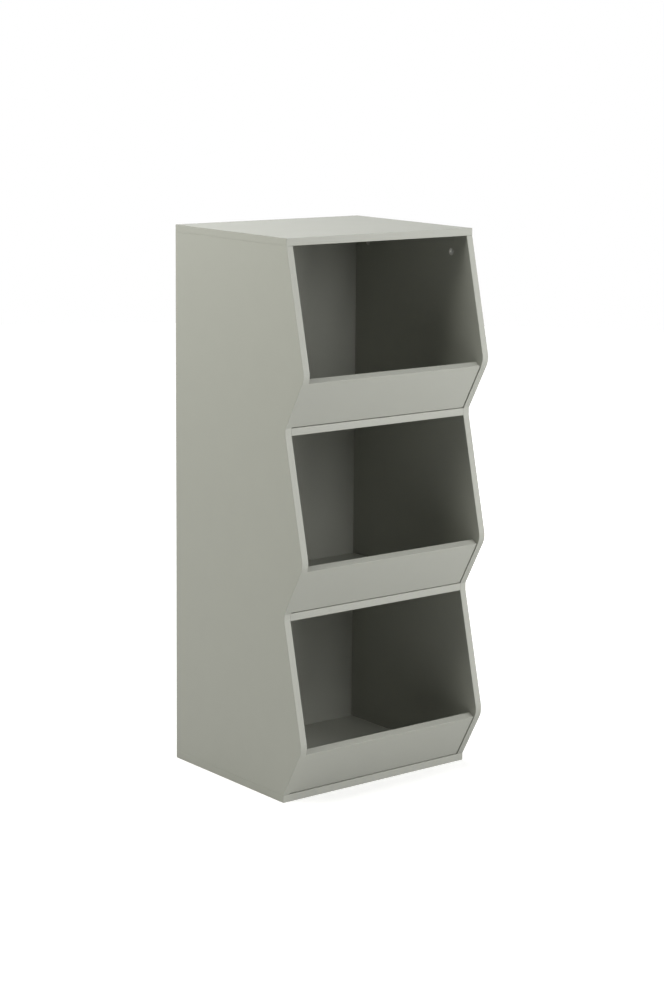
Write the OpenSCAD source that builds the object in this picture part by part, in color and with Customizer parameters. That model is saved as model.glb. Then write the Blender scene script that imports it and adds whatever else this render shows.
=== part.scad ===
// Three-tier bin shelf for a child's room: painted boards with zigzag sides, held together
// by cam fittings, dowels and screws. X runs left to right, Y front to back and Z up.
// The origin is on the floor, in the middle of the overall width and depth.

/* [Carcass] */
// Overall height, floor to the top face
unit_h = 900; // [840:5:1100]
// Overall width, across both sides
unit_w = 378; // [300:2:600]
// Depth of the top, the base and the straight part of the sides
unit_d = 301; // [240:1:400]
// Thickness of every painted board
board_t = 12; // [12:0.5:18]

/* [Bins] */
// How far a side's nose stands out in front of the shelves, to its sharp corner
nose_reach = 47; // [30:1:60]
// Height of the nose's sharp corner above the floor of its bin
nose_rise = 84; // [78:1:110]
// Rounding of the nose
nose_r = 30; // [6:1:34]
// How far a bin front sits back from the sloping edges of the sides
front_recess = 1.5; // [0.5:0.1:3]
// Gap between a bin front and each side
front_play = 0.6; // [0.2:0.1:1.5]
// Gap under the foot of a bin front
foot_play = 0.9; // [0.2:0.1:1]

/* [Back] */
// Thickness of the back panel
back_t = 3; // [2.5:0.5:5]
// From the rear edges of the boards to the back panel
back_inset = 10; // [6:0.5:14]
// Depth of the groove that holds the back panel
groove_depth = 5; // [3:0.5:6]
// Play of the back panel in its groove, all round
groove_play = 0.1; // [0.05:0.05:0.3]
// Gap between the shelves and the back panel
shelf_play = 0.2; // [0.1:0.1:0.5]

/* [Fitting rows] */
// From the front edge of the boards to the front row of fittings
row_front = 38; // [30:1:60]
// From the rear edge of the boards to the rear row of fittings
row_back = 45; // [40:1:60]
// From a cam or screw to the dowel beside it
dowel_step = 32; // [20:1:40]
// From the top edge of a bin front to its cams
front_cam_drop = 26; // [20:1:30]

/* [Cams] */
// Diameter of the cam
cam_d = 12; // [11:0.5:14]
// Depth of the cam beyond the axis of its bolt
cam_tail = 3.8; // [3.7:0.1:4.6]
// From the joint to the middle of the cam
cam_dist = 29; // [24:1:34]
// Depth of the dish in the face of the cam
cam_dish = 0.9; // [0.4:0.1:1]
// Width of the flat rim round the dish
cam_rim = 0.7; // [0.5:0.1:1.2]
// Length of the cross slot
cam_slot_len = 7.4; // [6:0.1:8.5]
// Width of the cross slot
cam_slot_w = 1.3; // [1:0.1:1.8]
// Depth of the cross slot
cam_slot_depth = 1.8; // [1.2:0.1:2.2]

/* [Cam bolts] */
// Diameter of the bolt's shank and thread
bolt_d = 5; // [4:0.5:5.5]
// Length of the thread, in the face of the other board
bolt_grip = 8; // [6:0.5:9]
// Diameter of the bolt's head and collar
bolt_head_d = 6.2; // [5.7:0.1:6.6]
// Height of the bolt's head
bolt_head_h = 2.4; // [1.8:0.1:3]
// Diameter of the neck, between the head and the shank
bolt_neck_d = 3.4; // [2.6:0.1:3.8]
// Thickness of the collar, between the shank and the thread
bolt_collar_h = 1.6; // [1:0.1:2.4]

/* [Dowels] */
// Diameter of the dowels
dowel_d = 6; // [5:0.5:7]
// Depth of a dowel in the edge of a board
dowel_edge = 20; // [14:1:26]
// Depth of a dowel in the face of a board
dowel_face = 8; // [6:0.5:9]
// Chamfer on the ends of a dowel
dowel_chamfer = 0.8; // [0.4:0.1:1.2]
// Radius of the flutes along a dowel
flute_r = 0.35; // [0.2:0.05:0.5]

/* [Base screws] */
// Diameter of the screw
screw_d = 5; // [4:0.5:6]
// Diameter of the countersunk head
screw_head_d = 9; // [8:0.5:10]
// Length of the screw
screw_len = 40; // [32:1:50]
// Length of the plain shank under the head
screw_shank = 11; // [9:0.5:14]
// Width of the hexagon socket, across its corners
hex_w = 4.6; // [3.4:0.1:4.8]
// Depth of the hexagon socket
hex_depth = 2.6; // [2:0.1:3.5]

/* [Threads] */
// Pitch of the threads
thread_pitch = 1.6; // [1.2:0.1:2.2]
// Depth of the threads
thread_depth = 0.6; // [0.3:0.05:0.8]

/* [Wall bracket] */
// Width of the bracket
bracket_w = 40; // [36:1:60]
// Length of each leg
bracket_leg = 25; // [22:1:30]
// Thickness of the bracket's steel
bracket_t = 2; // [1.5:0.5:3]
// Diameter of the hole for the wall screw
wall_hole_d = 5; // [4:0.5:6]
// From the underside of the top to the wall screw
wall_hole_drop = 15; // [12:1:17]
// Clearance of the wall screw in the back panel, all round
wall_hole_play = 1.5; // [1:0.5:3]
// Diameter of the two screws that hold the bracket
tack_d = 3.5; // [3:0.5:4]
// Length of these screws
tack_len = 11; // [9:0.5:12]
// Diameter of their heads
tack_head_d = 7; // [6:0.5:8]
// Height of their heads
tack_head_h = 2; // [1.5:0.1:2.5]
// Width of the cross slot in their heads
tack_slot_w = 0.9; // [0.6:0.1:1.2]
// Distance between these screws
tack_spread = 24; // [18:1:28]
// From the back panel to these screws
tack_set = 14; // [11:1:17]

/* [Clearances] */
// Radial clearance of a fitting in its bore, and the room beyond its end
fit = 0.1; // [0.05:0.05:0.2]
// Extra radial room along the bore that a cam bolt's head passes through
bolt_way = 0.1; // [0.05:0.05:0.2]
// How far a cam or a countersunk head lies below the surface
sink = 0.2; // [0.1:0.1:0.5]

/* [Hidden] */
$fn = 48;

paint = "#adafa4";
zinc = "#c2c4c6";
steel = "#b6b9bd";
beech = "#d8b98c";
past = 1;          // how far a cut runs past the face it opens
flutes = 8;
nose_steps = 16;   // flats round a nose
tiers = 3;

// Heights: one tier is a bin and the board above it
tier_h = (unit_h - board_t) / tiers;
bin_h = tier_h - board_t;
top_z = unit_h - board_t;
function bin_floor(i) = board_t + i * tier_h;
inner_w = unit_w - 2 * board_t;

// The nose in Y and Z, from the front plane and the bin floor: one edge leans out to it and
// the other leans back from it to the board above
nose_corner = [-nose_reach, nose_rise];
lean_out = nose_corner / norm(nose_corner);
lean_back = [nose_reach, bin_h - nose_rise] / norm([nose_reach, bin_h - nose_rise]);
inward = [lean_out[1], -lean_out[0]];
nose_turn = acos(lean_out * lean_back);
nose_cut = nose_r * tan(nose_turn / 2);
nose_centre = nose_corner - nose_cut * lean_out + nose_r * inward;
nose_tip = nose_r - nose_centre[0];

// Planes in Y: the rounded noses and the rear edges are equally far from the origin
rear_y = (unit_d + nose_tip) / 2;
front_y = rear_y - unit_d;
back_y = rear_y - back_inset - back_t;

front_len = norm(nose_corner) - nose_cut;
front_w = inner_w - 2 * front_play;
cam_rows = [front_y + row_front, rear_y - row_back];
dowel_rows = [cam_rows[0] + dowel_step, cam_rows[1] - dowel_step];
front_dowel_drop = front_cam_drop + dowel_step;
bolt_bore_d = bolt_head_d + 2 * fit + 2 * bolt_way;
screw_head_h = (screw_head_d - screw_d) / 2;
screw_grip = screw_len + sink - board_t;
wall_hole_z = top_z - wall_hole_drop;

// A joint of two boards has its own frame: Z runs out of the edge of one board into the face
// of the other, and X points at the surface that the cam is let into
function joint(pos, out, face) = let (side = cross(out, face))
    [[face[0], side[0], out[0], pos[0]],
     [face[1], side[1], out[1], pos[1]],
     [face[2], side[2], out[2], pos[2]]];
function top_joints(rows) = [for (s = [-1, 1], y = rows)
    joint([s * (unit_w - board_t) / 2, y, top_z], [0, 0, 1], [-s, 0, 0])];
function base_joints(rows) = [for (s = [-1, 1], y = rows)
    joint([s * (unit_w - board_t) / 2, y, board_t], [0, 0, -1], [-s, 0, 0])];
function shelf_joints(i, rows) = [for (s = [-1, 1], y = rows)
    joint([s * inner_w / 2, y, bin_floor(i) - board_t / 2], [s, 0, 0], [0, 0, -1])];
function front_joints(i, drop) = let (
        yz = (front_len - drop) * lean_out + (front_recess + board_t / 2) * inward)
    [for (s = [-1, 1]) joint([s * inner_w / 2, front_y + yz[0], bin_floor(i) + yz[1]],
        [s, 0, 0], [0, inward[0], inward[1]])];
tack_joints = [for (s = [-1, 1])
    joint([s * tack_spread / 2, back_y - tack_set, top_z], [0, 0, 1], [1, 0, 0])];
module at(joints) { for (m = joints) multmatrix(m) children(); }

// Rings of a thread, as points of a turned outline from z0 to z1
function thread(d, z0, z1) = [for (i = [0:floor((z1 - z0) / thread_pitch) - 1]) each [
    [d / 2 - thread_depth, z0 + i * thread_pitch],
    [d / 2, z0 + (i + 0.5) * thread_pitch],
    [d / 2 - thread_depth, z0 + (i + 1) * thread_pitch]]];
module cross_slot(len, w, depth) {
    for (a = [0, 90]) rotate([0, 0, a]) cube([len, w, 2 * depth], center = true);
}

// Cam: a drum in the face of a board, with a dished face, a cross slot and a pocket that holds
// the bolt's head
module cam_bore() {
    translate([-cam_tail - fit, 0, -cam_dist]) rotate([0, 90, 0])
        cylinder(d = cam_d + 2 * fit, h = board_t);
    translate([0, 0, -cam_dist]) cylinder(d = bolt_bore_d, h = cam_dist + past);
}
module cam() {
    face = board_t / 2 - sink;
    r = cam_d / 2;
    color(zinc) difference() {
        translate([0, 0, -cam_dist]) rotate([0, 90, 0]) rotate_extrude() polygon([
            [0, -cam_tail], [r, -cam_tail], [r, face], [r - cam_rim, face],
            [cam_slot_w, face - cam_dish], [0, face - cam_dish]]);
        translate([0, 0, -cam_dist - bolt_head_h / 2 - fit])
            cylinder(d = bolt_head_d + 2 * fit, h = bolt_head_h + 2 * fit);
        translate([0, 0, -cam_dist]) cylinder(d = bolt_neck_d + 2 * fit, h = cam_d);
        translate([face, 0, -cam_dist]) rotate([0, 90, 0])
            cross_slot(cam_slot_len, cam_slot_w, cam_slot_depth);
    }
}

// Cam bolt: its head is in the cam, and its thread is in the face of the other board
module bolt_bore() {
    translate([0, 0, -past]) cylinder(d = bolt_d + 2 * fit, h = bolt_grip + fit + past);
}
module cam_bolt() {
    head = -cam_dist - bolt_head_h / 2;
    shank = -cam_dist + cam_d / 2;
    color(steel) rotate_extrude() polygon(concat(
        [[0, head], [bolt_head_d / 2, head], [bolt_head_d / 2, head + bolt_head_h],
            [bolt_neck_d / 2, head + bolt_head_h], [bolt_neck_d / 2, shank], [bolt_d / 2, shank],
            [bolt_d / 2, -bolt_collar_h], [bolt_head_d / 2, -bolt_collar_h], [bolt_head_d / 2, 0]],
        thread(bolt_d, 0, bolt_grip),
        [[bolt_d / 2 - thread_depth, bolt_grip], [0, bolt_grip]]));
}

// Fluted dowel, across the joint
module dowel_edge_bore() {
    translate([0, 0, -dowel_edge - fit]) cylinder(d = dowel_d + 2 * fit, h = dowel_edge + fit + past);
}
module dowel_face_bore() {
    translate([0, 0, -past]) cylinder(d = dowel_d + 2 * fit, h = dowel_face + fit + past);
}
module dowel() {
    r = dowel_d / 2;
    end = r - dowel_chamfer;
    color(beech) difference() {
        rotate_extrude() polygon([[0, -dowel_edge], [end, -dowel_edge],
            [r, -dowel_edge + dowel_chamfer], [r, dowel_face - dowel_chamfer],
            [end, dowel_face], [0, dowel_face]]);
        for (i = [0:flutes - 1]) rotate([0, 0, i * 360 / flutes])
            translate([r, 0, -dowel_edge - past])
                cylinder(r = flute_r, h = dowel_edge + dowel_face + 2 * past, $fn = 4);
    }
}

// Countersunk screw up through the base into the edge of a side
module screw_bore() {
    translate([0, 0, -past]) cylinder(d = screw_d + 2 * fit, h = board_t + 2 * past);
    translate([0, 0, board_t - sink - screw_head_h])
        cylinder(d1 = screw_d + 2 * fit, d2 = screw_head_d + 2 * fit, h = screw_head_h);
    translate([0, 0, board_t - sink]) cylinder(d = screw_head_d + 2 * fit, h = sink + past);
}
module screw_pilot() {
    translate([0, 0, -screw_grip - fit]) cylinder(d = screw_d + 2 * fit, h = screw_grip + fit + past);
}
module base_screw() {
    color(steel) translate([0, 0, board_t - sink]) mirror([0, 0, 1]) difference() {
        rotate_extrude() polygon(concat(
            [[0, 0], [screw_head_d / 2, 0], [screw_d / 2, screw_head_h], [screw_d / 2, screw_shank]],
            thread(screw_d, screw_shank, screw_len),
            [[screw_d / 2 - thread_depth, screw_len], [0, screw_len]]));
        translate([0, 0, -past]) cylinder(d = hex_w, h = hex_depth + past, $fn = 6);
    }
}

// Outline of a side in Y and Z, from the front plane and the top of the base
module side_outline() {
    start = atan2(-inward[1], -inward[0]);
    nose = [for (k = [0:nose_steps]) let (a = start - nose_turn * k / nose_steps)
        nose_centre + nose_r * [cos(a), sin(a)]];
    polygon(concat(
        [for (i = [0:tiers - 1]) each concat(
            [[0, i * tier_h]], [for (p = nose) p + [0, i * tier_h]], [[0, i * tier_h + bin_h]])],
        [[unit_d, top_z - board_t], [unit_d, 0]]));
}
// A side, s = -1 on the left and 1 on the right
module side_panel(s) {
    color(paint) difference() {
        translate([s * (unit_w - board_t) / 2 - board_t / 2, front_y, board_t])
            rotate([90, 0, 90]) linear_extrude(board_t) side_outline();
        translate([-inner_w / 2 - groove_depth, back_y - groove_play, 0])
            cube([inner_w + 2 * groove_depth, back_t + 2 * groove_play, unit_h]);
        at(top_joints(cam_rows)) cam_bore();
        at(top_joints(dowel_rows)) dowel_edge_bore();
        at(base_joints(cam_rows)) screw_pilot();
        at(base_joints(dowel_rows)) dowel_edge_bore();
        for (i = [1:tiers - 1]) {
            at(shelf_joints(i, cam_rows)) bolt_bore();
            at(shelf_joints(i, dowel_rows)) dowel_face_bore();
        }
        for (i = [0:tiers - 1]) {
            at(front_joints(i, front_cam_drop)) bolt_bore();
            at(front_joints(i, front_dowel_drop)) dowel_face_bore();
        }
    }
}
// A board between the floor and the top, as wide as the unit, with a groove across it
module wide_board(z, groove_z) {
    difference() {
        translate([-unit_w / 2, front_y, z]) cube([unit_w, unit_d, board_t]);
        translate([-inner_w / 2 - groove_depth, back_y - groove_play, groove_z])
            cube([inner_w + 2 * groove_depth, back_t + 2 * groove_play, groove_depth]);
    }
}
// A fixed shelf, whose upper face is the floor of bin i
module shelf(i) {
    color(paint) difference() {
        translate([-inner_w / 2, front_y, bin_floor(i) - board_t])
            cube([inner_w, back_y - shelf_play - front_y, board_t]);
        at(shelf_joints(i, cam_rows)) cam_bore();
        at(shelf_joints(i, dowel_rows)) dowel_edge_bore();
    }
}
// The front of bin i, which leans out with the sides and has its foot cut level with the floor
module bin_front(i) {
    outer = front_recess;
    inner = front_recess + board_t;
    function foot(v) = (foot_play - v * inward[1]) / lean_out[1];
    color(paint) difference() {
        translate([-front_w / 2, front_y, bin_floor(i)]) rotate([90, 0, 90])
            linear_extrude(front_w) polygon([
                foot(outer) * lean_out + outer * inward,
                front_len * lean_out + outer * inward,
                front_len * lean_out + inner * inward,
                foot(inner) * lean_out + inner * inward]);
        at(front_joints(i, front_cam_drop)) cam_bore();
        at(front_joints(i, front_dowel_drop)) dowel_edge_bore();
    }
}

module top_panel() {
    color(paint) difference() {
        wide_board(top_z, top_z);
        at(top_joints(cam_rows)) bolt_bore();
        at(top_joints(dowel_rows)) dowel_face_bore();
        at(tack_joints) tack_bore();
    }
}
module base_panel() {
    color(paint) difference() {
        wide_board(0, board_t - groove_depth);
        at(base_joints(cam_rows)) screw_bore();
        at(base_joints(dowel_rows)) dowel_face_bore();
    }
}
module left_side_panel() { side_panel(-1); }
module right_side_panel() { side_panel(1); }
module upper_shelf() { shelf(2); }
module lower_shelf() { shelf(1); }
module back_panel() {
    margin = groove_depth - groove_play;
    color(paint) difference() {
        translate([-inner_w / 2 - margin, back_y, board_t - margin])
            cube([inner_w + 2 * margin, back_t, top_z - board_t + 2 * margin]);
        translate([0, back_y - past, wall_hole_z]) rotate([-90, 0, 0])
            cylinder(d = wall_hole_d + 2 * wall_hole_play, h = back_t + 2 * past);
    }
}
module upper_bin_front() { bin_front(2); }
module middle_bin_front() { bin_front(1); }
module lower_bin_front() { bin_front(0); }

module top_cams() { at(top_joints(cam_rows)) cam(); }
module top_cam_bolts() { at(top_joints(cam_rows)) cam_bolt(); }
module top_dowels() { at(top_joints(dowel_rows)) dowel(); }
module base_screws() { at(base_joints(cam_rows)) base_screw(); }
module base_dowels() { at(base_joints(dowel_rows)) dowel(); }
module upper_shelf_cams() { at(shelf_joints(2, cam_rows)) cam(); }
module upper_shelf_cam_bolts() { at(shelf_joints(2, cam_rows)) cam_bolt(); }
module upper_shelf_dowels() { at(shelf_joints(2, dowel_rows)) dowel(); }
module lower_shelf_cams() { at(shelf_joints(1, cam_rows)) cam(); }
module lower_shelf_cam_bolts() { at(shelf_joints(1, cam_rows)) cam_bolt(); }
module lower_shelf_dowels() { at(shelf_joints(1, dowel_rows)) dowel(); }
module upper_bin_front_cams() { at(front_joints(2, front_cam_drop)) cam(); }
module upper_bin_front_cam_bolts() { at(front_joints(2, front_cam_drop)) cam_bolt(); }
module upper_bin_front_dowels() { at(front_joints(2, front_dowel_drop)) dowel(); }
module middle_bin_front_cams() { at(front_joints(1, front_cam_drop)) cam(); }
module middle_bin_front_cam_bolts() { at(front_joints(1, front_cam_drop)) cam_bolt(); }
module middle_bin_front_dowels() { at(front_joints(1, front_dowel_drop)) dowel(); }
module lower_bin_front_cams() { at(front_joints(0, front_cam_drop)) cam(); }
module lower_bin_front_cam_bolts() { at(front_joints(0, front_cam_drop)) cam_bolt(); }
module lower_bin_front_dowels() { at(front_joints(0, front_dowel_drop)) dowel(); }

// Angle under the top, flat against the back panel, for the screw that ties the unit to a wall
module wall_bracket() {
    color(zinc) difference() {
        union() {
            translate([-bracket_w / 2, back_y - bracket_leg, top_z - bracket_t])
                cube([bracket_w, bracket_leg, bracket_t]);
            translate([-bracket_w / 2, back_y - bracket_t, top_z - bracket_leg])
                cube([bracket_w, bracket_t, bracket_leg]);
        }
        translate([0, back_y - bracket_t - past, wall_hole_z]) rotate([-90, 0, 0])
            cylinder(d = wall_hole_d, h = bracket_t + 2 * past);
        at(tack_joints) translate([0, 0, -bracket_t - past])
            cylinder(d = tack_d + 2 * fit, h = bracket_t + 2 * past);
    }
}
module tack_bore() {
    translate([0, 0, -past]) cylinder(d = tack_d + 2 * fit, h = tack_len - bracket_t + fit + past);
}
// Pan head screws that hold the bracket to the top
module wall_bracket_screws() {
    r = tack_head_d / 2;
    color(steel) at(tack_joints) translate([0, 0, -bracket_t]) difference() {
        rotate_extrude() polygon(concat(
            [[0, -tack_head_h], [r - tack_head_h / 2, -tack_head_h], [r, -tack_head_h / 2], [r, 0]],
            thread(tack_d, 0, tack_len),
            [[tack_d / 2 - thread_depth, tack_len], [0, tack_len]]));
        translate([0, 0, -tack_head_h]) cross_slot(tack_head_d / 2, tack_slot_w, tack_head_h / 2);
    }
}

top_panel();
base_panel();
left_side_panel();
right_side_panel();
upper_shelf();
lower_shelf();
back_panel();
upper_bin_front();
middle_bin_front();
lower_bin_front();
top_cams();
top_cam_bolts();
top_dowels();
base_screws();
base_dowels();
upper_shelf_cams();
upper_shelf_cam_bolts();
upper_shelf_dowels();
lower_shelf_cams();
lower_shelf_cam_bolts();
lower_shelf_dowels();
upper_bin_front_cams();
upper_bin_front_cam_bolts();
upper_bin_front_dowels();
middle_bin_front_cams();
middle_bin_front_cam_bolts();
middle_bin_front_dowels();
lower_bin_front_cams();
lower_bin_front_cam_bolts();
lower_bin_front_dowels();
wall_bracket();
wall_bracket_screws();
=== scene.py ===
"""Three-tier bin shelf for a child's room: fibreboard panels sprayed a matt grey-green, with
zigzag sides, leaning bin fronts and a thin back, held by zinc cams, bolts, dowels and screws.
Metres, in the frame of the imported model: X to the right, Y to the back, Z up."""

import math

import bmesh
import bpy
from mathutils import Matrix, Vector


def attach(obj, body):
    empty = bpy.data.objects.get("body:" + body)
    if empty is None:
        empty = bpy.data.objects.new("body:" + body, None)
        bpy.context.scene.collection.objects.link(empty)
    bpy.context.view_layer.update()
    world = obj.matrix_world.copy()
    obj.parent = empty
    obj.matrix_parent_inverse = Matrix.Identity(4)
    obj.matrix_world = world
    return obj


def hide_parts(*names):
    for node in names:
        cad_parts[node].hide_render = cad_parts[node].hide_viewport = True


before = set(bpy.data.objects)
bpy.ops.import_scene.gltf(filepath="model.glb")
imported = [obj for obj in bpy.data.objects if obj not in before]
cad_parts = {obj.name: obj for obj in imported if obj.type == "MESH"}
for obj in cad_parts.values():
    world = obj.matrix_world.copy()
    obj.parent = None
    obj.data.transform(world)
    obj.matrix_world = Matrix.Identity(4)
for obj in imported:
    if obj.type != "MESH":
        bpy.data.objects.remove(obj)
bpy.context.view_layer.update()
scene = bpy.context.scene

MM = 0.001
EPS = 0.02 * MM
X, Y, Z = Vector((1, 0, 0)), Vector((0, 1, 0)), Vector((0, 0, 1))

# Camera, solved from the straight edges of the photograph (664 x 1000)
PHOTO_W, PHOTO_H = 664, 1000
CAMERA_AT = (-2.3592, -3.0232, 1.2169)
CAMERA_LOOK = (0.62936, 0.75899, -0.16687)
CAMERA_ROLL = math.radians(0.8)
CAMERA_REACH = 100
FOCAL_PX = 2364.8
OPTICAL_AXIS_PX = (400, 430)
SENSOR = 36.0

# Studio: square softboxes and narrow strip boxes round the shelf, aimed at its middle. Each row
# has a light colour, an azimuth, 0 in front of the shelf and 90 to its right, a distance and a
# height above the floor, a width, a length and a power in watts.
LAMPS_AIM_AT = (0, -0.05, 0.5)
WHITE, WARM_WHITE, COOL_WHITE = "#ffffff", "#fffff2", "#f9fbff"
SOFTBOXES = (
    ("overhead_box", COOL_WHITE, 180, 0.55, 3.45, 1.5, 1.5, 25.8),
    ("high_left_box", WHITE, -90, 1.5, 3.05, 1.5, 1.5, 25),
    ("left_box", WARM_WHITE, -90, 1.8, 1.6, 1.0, 1.0, 18.1),
    ("rear_left_box", WHITE, -150, 1.8, 1.4, 1.0, 1.0, 17.5),
    ("rear_right_box", WHITE, 160, 2.3, 2.4, 1.5, 1.5, 14.8),
    ("right_box", WHITE, 100, 2.95, 0.95, 1.5, 1.5, 24.4),
    ("low_front_right_box", WHITE, 35, 3.0, 0.7, 1.5, 1.5, 38.4),
    ("front_right_box", WHITE, 35, 2.2, 1.3, 1.2, 1.2, 16.9),
    ("high_front_strip", WHITE, 0, 2.4, 1.8, 0.5, 1.2, 10.2),
    ("low_front_strip", WHITE, 10, 1.7, 1.0, 0.4, 1.0, 5.1),
)

# Floor: a pale disc just under the shelf. Its own glow turns what the camera sees of it white
# from SHADOW_END outwards, and is weaker inside SHADOW_START, where the shelf's shadow lies.
FLOOR = "#cccccb"
FLOOR_ROUGHNESS = 0.9
FLOOR_R = 6.0
FLOOR_SIDES = 96
FLOOR_GAP = 0.2 * MM
SHADOW_START, SHADOW_END = 0.6, 2.0
GLOW_AT_SHADOW, GLOW = 0.55, 1.0

# Marks of a finish: how many finer layers lie over the main ones and how strong they are, and the
# part of the noise that runs from the first tone to the second
MARK_LAYERS = 3.0
MARK_LAYER_STRENGTH = 0.6
MARKS_FROM, MARKS_TO = 0.3, 0.7

# Copies of the CAD solids: points closer than WELD become one, faces that turn by less than
# SAME_FLAT become one flat, and an edge that turns by more than SHARP stays sharp
WELD = 0.005 * MM
SAME_FLAT = math.radians(0.3)
SHARP = math.radians(40)

# Boards: the round of their arrises, on edges that turn by more than CREASE, and the hairline
# that a cam joint leaves open between the ends of the sides and the boards over and under them.
# A face of the back panel is bare where its normal's Y is over REARWARD.
ARRIS = 0.4 * MM
ARRIS_STEPS = 3
CREASE = math.radians(20)
HAIRLINE = 0.08 * MM
REARWARD = 0.5

# Cams of the top: how far below the rim the slope of the dish can lie in the CAD solid, and how
# many times as steep the real slope is
DISH_MAX = 1 * MM
DISH_STEEPER = 1.65


def srgb(code):
    """Linear colour from an sRGB hex code."""
    values = [int(code[i:i + 2], 16) / 255 for i in (1, 3, 5)]
    return tuple(v / 12.92 if v <= 0.04045 else ((v + 0.055) / 1.055) ** 2.4
                 for v in values) + (1.0,)


def add(tree, kind, links=None, **settings):
    """A node with its settings. links gives an input a value, or another node's output."""
    node = tree.nodes.new(kind)
    for name, value in settings.items():
        setattr(node, name, value)
    for key, value in (links or {}).items():
        if isinstance(value, bpy.types.Node):
            value = value.outputs[0]
        if isinstance(value, bpy.types.NodeSocket):
            tree.links.new(value, node.inputs[key])
        else:
            node.inputs[key].default_value = value
    return node


def new_material(name):
    """An empty material: itself, its tree, its shader and the object's own coordinates."""
    material = bpy.data.materials.new(name)
    material.use_nodes = True
    tree = material.node_tree
    tree.nodes.clear()
    shader = add(tree, "ShaderNodeBsdfPrincipled")
    add(tree, "ShaderNodeOutputMaterial", {"Surface": shader})
    place = add(tree, "ShaderNodeTexCoord").outputs["Object"]
    return material, tree, shader, place


def finish(name, tones, roughness, grain, relief, metallic=0.0):
    """A surface whose tone and gloss wander between two tones and two roughnesses.
    grain is the size of its marks and relief their depth, both in metres."""
    material, tree, shader, place = new_material(name)
    marks = add(tree, "ShaderNodeTexNoise", {
        "Vector": place, "Scale": 1 / grain, "Detail": MARK_LAYERS,
        "Roughness": MARK_LAYER_STRENGTH})
    share = add(tree, "ShaderNodeMapRange", {
        "Value": marks, "From Min": MARKS_FROM, "From Max": MARKS_TO})
    # In colour, a Mix node's two inputs are numbers 6 and 7 and its output is number 2
    tone = add(tree, "ShaderNodeMix", {0: share, 6: srgb(tones[0]), 7: srgb(tones[1])},
               data_type="RGBA")
    gloss = add(tree, "ShaderNodeMapRange", {
        "Value": share, "To Min": roughness[0], "To Max": roughness[1]})
    dents = add(tree, "ShaderNodeBump", {"Height": marks, "Distance": relief})
    shader.inputs["Metallic"].default_value = metallic
    tree.links.new(tone.outputs[2], shader.inputs["Base Color"])
    tree.links.new(gloss.outputs[0], shader.inputs["Roughness"])
    tree.links.new(dents.outputs[0], shader.inputs["Normal"])
    return material


# Sprayed matt lacquer on fibreboard: a flat grey-green that clouds very little in tone and gloss,
# over 60 mm or so, with a soft sheen that shows at a low angle only
PAINT = finish("matt_lacquered_fibreboard", ("#999a92", "#9b9c94"), (0.58, 0.64),
               grain=60 * MM, relief=0.05 * MM)
# Cut core inside bores and grooves: dull brown and fibrous. The fibres are 0.1 mm wide, drawn
# 1 mm wide so that they show
CORE = finish("bare_fibreboard", ("#8c6f4e", "#b08f68"), (0.88, 0.95),
              grain=1 * MM, relief=0.06 * MM)
# Unpainted rear of the back panel: pressed brown fibres with a faint mottle. The fibres are
# 0.2 mm wide, drawn 1.5 mm wide so that they show
HARDBOARD = finish("bare_hardboard", ("#7c6148", "#96795b"), (0.72, 0.84),
                   grain=1.5 * MM, relief=0.05 * MM)
# Die-cast zinc as it leaves the mould: pale grey and frosted. The grains of its skin are 0.1 mm,
# drawn 0.8 mm wide so that they show
ZINC = finish("die_cast_zinc", ("#d8d8d5", "#c0c0bd"), (0.5, 0.6),
              grain=0.8 * MM, relief=0.01 * MM, metallic=1.0)
# Zinc-plated steel, dulled by its passivation: a cool mid grey with a blurred shine. Its mottle
# is 0.1 mm, drawn 0.5 mm wide so that it shows
PLATE = finish("zinc_plated_steel", ("#abafb2", "#96999d"), (0.4, 0.5),
               grain=0.5 * MM, relief=0.01 * MM, metallic=1.0)
# Turned beech: pale tan, matt, with short darker flecks of 1.2 mm
BEECH = finish("turned_beech", ("#d6b78b", "#bf9a6c"), (0.58, 0.68),
               grain=1.2 * MM, relief=0.03 * MM)


def full_face(face, direction, low, high):
    """Whether a face is part of the board's outer skin: on one of its two broad planes, or
    an edge that runs through its whole thickness."""
    depths = [v.co.dot(direction) for v in face.verts]
    near, far = min(depths), max(depths)
    if far - near < EPS:
        return abs(near - low) < EPS or abs(far - high) < EPS
    return far - near > high - low - EPS


def solid_of(node):
    """A merged copy of a CAD solid, with one face for each flat."""
    bm = bmesh.new()
    bm.from_mesh(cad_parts[node].data)
    bmesh.ops.remove_doubles(bm, verts=bm.verts, dist=WELD)
    bmesh.ops.dissolve_limit(bm, angle_limit=SAME_FLAT, verts=bm.verts, edges=bm.edges,
                             use_dissolve_boundaries=False)
    return bm


def object_of(bm, name):
    """The object that a finished bmesh becomes."""
    mesh = bpy.data.meshes.new(name)
    bm.to_mesh(mesh)
    bm.free()
    made = bpy.data.objects.new(name, mesh)
    scene.collection.objects.link(made)
    return made


def stand_in(bm, node, ending, coats):
    """The finished piece that replaces a CAD node."""
    for f in bm.faces:
        f.smooth = True
    for e in bm.edges:
        e.smooth = not (len(e.link_faces) == 2 and e.calc_face_angle(0) > SHARP)
    piece = object_of(bm, node + ending)
    for coat in coats:
        piece.data.materials.append(coat)
    shading = piece.modifiers.new("flat_faces_stay_flat", "WEIGHTED_NORMAL")
    shading.keep_sharp = True
    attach(piece, "root")
    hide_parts(node)
    return piece


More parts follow.
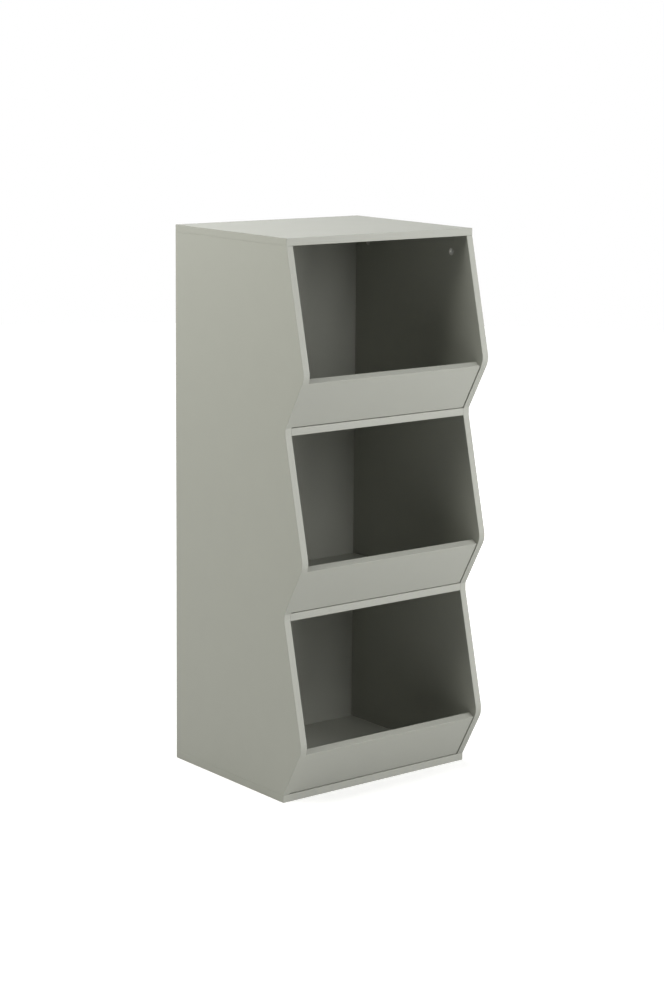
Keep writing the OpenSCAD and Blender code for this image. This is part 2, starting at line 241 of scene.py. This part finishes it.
def board(node, direction, coats=(PAINT, CORE)):
    """The panel with its arrises eased: a copy of the CAD solid, whose outer corners get a
    small round while its bores and grooves stay sharp and show the second coat. direction
    runs through its thickness."""
    bm = solid_of(node)
    if node.endswith("side_panel"):
        heights = [v.co.z for v in bm.verts]
        for end, inward in ((min(heights), HAIRLINE), (max(heights), -HAIRLINE)):
            for v in bm.verts:
                if abs(v.co.z - end) < EPS:
                    v.co.z += inward
    depths = [v.co.dot(direction) for v in bm.verts]
    low, high = min(depths), max(depths)
    skin = {f for f in bm.faces if full_face(f, direction, low, high)}
    for f in bm.faces:
        f.material_index = 0 if f in skin else 1
    arrises = [e for e in bm.edges if len(e.link_faces) == 2 and set(e.link_faces) <= skin
               and e.calc_face_angle(0) > CREASE]
    bmesh.ops.bevel(bm, geom=arrises, offset=ARRIS, offset_type="OFFSET", affect="EDGES",
                    segments=ARRIS_STEPS, profile=0.5, material=-1, clamp_overlap=True)
    return stand_in(bm, node, "_eased", coats)


def deepen_dishes(node):
    """The top's cams, whose faces look inwards along X, with a steeper slope in their dishes:
    the one cam in sight shows a bright crescent where that slope faces the front."""
    bm = solid_of(node)
    rim = min(abs(v.co.x) for v in bm.verts)
    for v in bm.verts:
        depth = abs(v.co.x) - rim
        if EPS < depth < DISH_MAX:
            v.co.x += math.copysign(depth * (DISH_STEEPER - 1), v.co.x)
    stand_in(bm, node, "_dished", (ZINC,))


def dress(node, material):
    """A CAD node kept as it is, with a better material."""
    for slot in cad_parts[node].material_slots:
        slot.material = material


def find_lean(node):
    """The direction through the thickness of a bin front: square to its broadest face."""
    return max(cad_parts[node].data.polygons, key=lambda p: p.area).normal.normalized()


def seen_rays(tree):
    """1 for the rays that see a surface straight, in a shine or through glass, else 0."""
    rays = add(tree, "ShaderNodeLightPath").outputs
    shone = add(tree, "ShaderNodeMath", {0: rays["Is Camera Ray"], 1: rays["Is Glossy Ray"]},
                operation="MAXIMUM")
    return add(tree, "ShaderNodeMath", {0: shone, 1: rays["Is Transmission Ray"]},
               operation="MAXIMUM")


def white_surround():
    """A world that is seen as white and gives no light of its own."""
    world = bpy.data.worlds.new("white_surround")
    scene.world = world
    world.use_nodes = True
    tree = world.node_tree
    tree.nodes.clear()
    white = add(tree, "ShaderNodeBackground", {
        "Color": srgb(WHITE), "Strength": seen_rays(tree)})
    add(tree, "ShaderNodeOutputWorld", {"Surface": white})


def hang_softboxes():
    """The lamps of the studio table, unseen by the camera."""
    for name, tint, azimuth, distance, height, width, length, power in SOFTBOXES:
        data = bpy.data.lights.new(name, "AREA")
        data.shape = "RECTANGLE"
        data.size = width
        data.size_y = length
        data.energy = power
        data.color = srgb(tint)[:3]
        lamp = bpy.data.objects.new(name, data)
        scene.collection.objects.link(lamp)
        turn = math.radians(azimuth)
        lamp.location = (math.sin(turn) * distance, -math.cos(turn) * distance, height)
        away = lamp.location - Vector(LAMPS_AIM_AT)
        lamp.rotation_euler = away.to_track_quat("Z", "Y").to_euler()
        lamp.visible_camera = False


def lay_floor():
    """A pale floor that keeps the shelf's shadow and is seen as white further out."""
    bm = bmesh.new()
    bmesh.ops.create_circle(bm, cap_ends=True, segments=FLOOR_SIDES, radius=FLOOR_R)
    bmesh.ops.translate(bm, verts=bm.verts, vec=(0, 0, -FLOOR_GAP))
    floor = object_of(bm, "floor")
    material, tree, shader, place = new_material("pale_studio_floor")
    away = add(tree, "ShaderNodeVectorMath", {0: place}, operation="LENGTH")
    glow = add(tree, "ShaderNodeMapRange", {
        "Value": away.outputs["Value"], "From Min": SHADOW_START, "From Max": SHADOW_END,
        "To Min": GLOW_AT_SHADOW, "To Max": GLOW}, interpolation_type="SMOOTHSTEP")
    seen = add(tree, "ShaderNodeMath", {0: seen_rays(tree), 1: glow}, operation="MULTIPLY")
    shader.inputs["Base Color"].default_value = srgb(FLOOR)
    shader.inputs["Roughness"].default_value = FLOOR_ROUGHNESS
    shader.inputs["Emission Color"].default_value = srgb(WHITE)
    tree.links.new(seen.outputs[0], shader.inputs["Emission Strength"])
    floor.data.materials.append(material)


def place_camera():
    """The photograph's camera."""
    look = Vector(CAMERA_LOOK).normalized()
    right = look.cross(Z).normalized()
    up = right.cross(look)
    tilted = math.cos(CAMERA_ROLL) * right + math.sin(CAMERA_ROLL) * up
    up = tilted.cross(look)
    data = bpy.data.cameras.new("photo_camera")
    data.sensor_width = SENSOR
    data.lens = FOCAL_PX / PHOTO_H * SENSOR
    data.shift_x = (PHOTO_W / 2 - OPTICAL_AXIS_PX[0]) / PHOTO_H
    data.shift_y = (OPTICAL_AXIS_PX[1] - PHOTO_H / 2) / PHOTO_H
    data.clip_end = CAMERA_REACH
    body = bpy.data.objects.new("photo_camera", data)
    scene.collection.objects.link(body)
    body.matrix_world = Matrix((
        (tilted.x, up.x, -look.x, CAMERA_AT[0]),
        (tilted.y, up.y, -look.y, CAMERA_AT[1]),
        (tilted.z, up.z, -look.z, CAMERA_AT[2]),
        (0, 0, 0, 1)))
    scene.camera = body


# The ten boards, and the cams under the top
for name, direction in (("top_panel", Z), ("base_panel", Z), ("upper_shelf", Z),
                        ("lower_shelf", Z), ("left_side_panel", X), ("right_side_panel", X)):
    board(name, direction)
for name in ("upper_bin_front", "middle_bin_front", "lower_bin_front"):
    board(name, find_lean(name))
deepen_dishes("top_cams")
back = board("back_panel", Y, (PAINT, HARDBOARD))
for polygon in back.data.polygons:
    if polygon.normal.y > REARWARD:
        polygon.material_index = 1

# The other fittings
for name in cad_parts:
    if name.endswith("cams") and name != "top_cams":
        dress(name, ZINC)
    elif name.endswith(("bolts", "screws", "bracket")):
        dress(name, PLATE)
    elif name.endswith("dowels"):
        dress(name, BEECH)

white_surround()
hang_softboxes()
lay_floor()
place_camera()
scene.view_settings.view_transform = "Standard"
